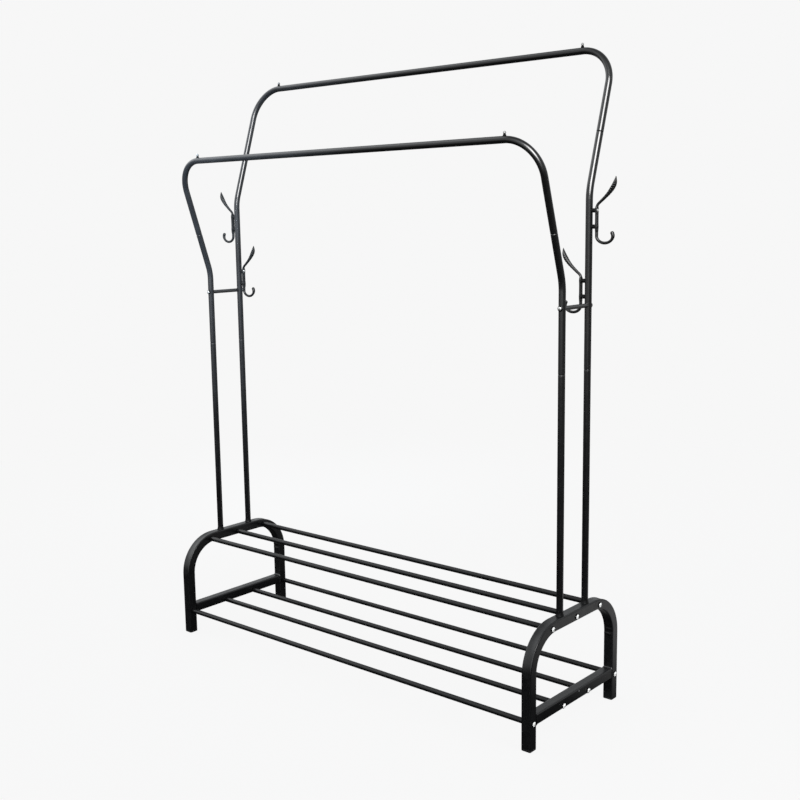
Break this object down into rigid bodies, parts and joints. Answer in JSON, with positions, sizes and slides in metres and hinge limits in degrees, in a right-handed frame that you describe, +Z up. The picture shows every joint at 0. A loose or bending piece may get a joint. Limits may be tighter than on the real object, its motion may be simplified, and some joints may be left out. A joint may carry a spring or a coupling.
{
  "type": "garment rail",
  "caption": "Free-standing double garment rail in black tube: a low front and a high back hanging rail, arched end frames, two slatted shelves and side coat hooks.",
  "frame": {"origin": "on the floor, at the middle of the four feet", "axes": "+Z up, +X to the right along the rails, +Y towards the high rail at the back"},
  "size_m": [1.3104, 0.38, 1.5656],
  "materials": {
    "base_powder_coat": "fine satin black powder coat on square steel tube",
    "tube_powder_coat": "semi-gloss black powder coat on round steel tube",
    "rod_powder_coat": "semi-gloss black powder coat on round steel rod",
    "hook_coat": "satin black coated cast metal",
    "black_plastic": "moulded black plastic",
    "black_washer": "black washer",
    "black_hardware": "black coated hardware",
    "bright_screw": "bright nickel plated steel",
    "plated_steel": "zinc plated steel"
  },
  "bodies": {
    "frame": {"arch_left": "base_powder_coat", "arch_right": "base_powder_coat", "crossbar_left": "base_powder_coat", "crossbar_right": "base_powder_coat", "foot_cap_left_back": "black_plastic", "foot_cap_left_front": "black_plastic", "foot_cap_right_back": "black_plastic", "foot_cap_right_front": "black_plastic", "hook_bottom_screws": "black_hardware", "hook_lower_left": "hook_coat", "hook_lower_right": "hook_coat", "hook_spacers_left": "black_hardware", "hook_spacers_right": "black_hardware", "hook_top_screws": "bright_screw", "hook_upper_left": "hook_coat", "hook_upper_right": "hook_coat", "lower_rod_back": "rod_powder_coat", "lower_rod_front": "rod_powder_coat", "lower_rod_inserts": "plated_steel", "lower_rod_mid_back": "rod_powder_coat", "lower_rod_mid_front": "rod_powder_coat", "lower_upright_left_back": "tube_powder_coat", "lower_upright_left_front": "tube_powder_coat", "lower_upright_right_back": "tube_powder_coat", "lower_upright_right_front": "tube_powder_coat", "shelf_screws_left": "bright_screw", "shelf_screws_right": "bright_screw", "shelf_washers_left": "black_washer", "shelf_washers_right": "black_washer", "socket_pin_left_back": "plated_steel", "socket_pin_left_front": "plated_steel", "socket_pin_right_back": "plated_steel", "socket_pin_right_front": "plated_steel", "tie_bar_left": "tube_powder_coat", "tie_bar_right": "tube_powder_coat", "tie_screws_left": "bright_screw", "tie_screws_right": "bright_screw", "upper_rod_back": "rod_powder_coat", "upper_rod_front": "rod_powder_coat", "upper_rod_inserts": "plated_steel", "upper_rod_middle": "rod_powder_coat", "upper_upright_left_back": "tube_powder_coat", "upper_upright_left_front": "tube_powder_coat", "upper_upright_right_back": "tube_powder_coat", "upper_upright_right_front": "tube_powder_coat"},
    "front_hoop": {"front_hoop_tube": "tube_powder_coat", "stop_collars_front": "black_plastic", "stop_screws_front": "bright_screw"},
    "back_hoop": {"back_hoop_tube": "tube_powder_coat", "stop_collars_back": "black_plastic", "stop_screws_back": "bright_screw"}
  },
  "joints": [
    {"name": "front_hoop_lift", "type": "slide", "parent": "frame", "child": "front_hoop", "axis": [0, -0.3049, 0.9524], "range_m": [0, 0.06]},
    {"name": "back_hoop_lift", "type": "slide", "parent": "frame", "child": "back_hoop", "axis": [0, 0.3049, 0.9524], "range_m": [0, 0.06]}
  ]
}
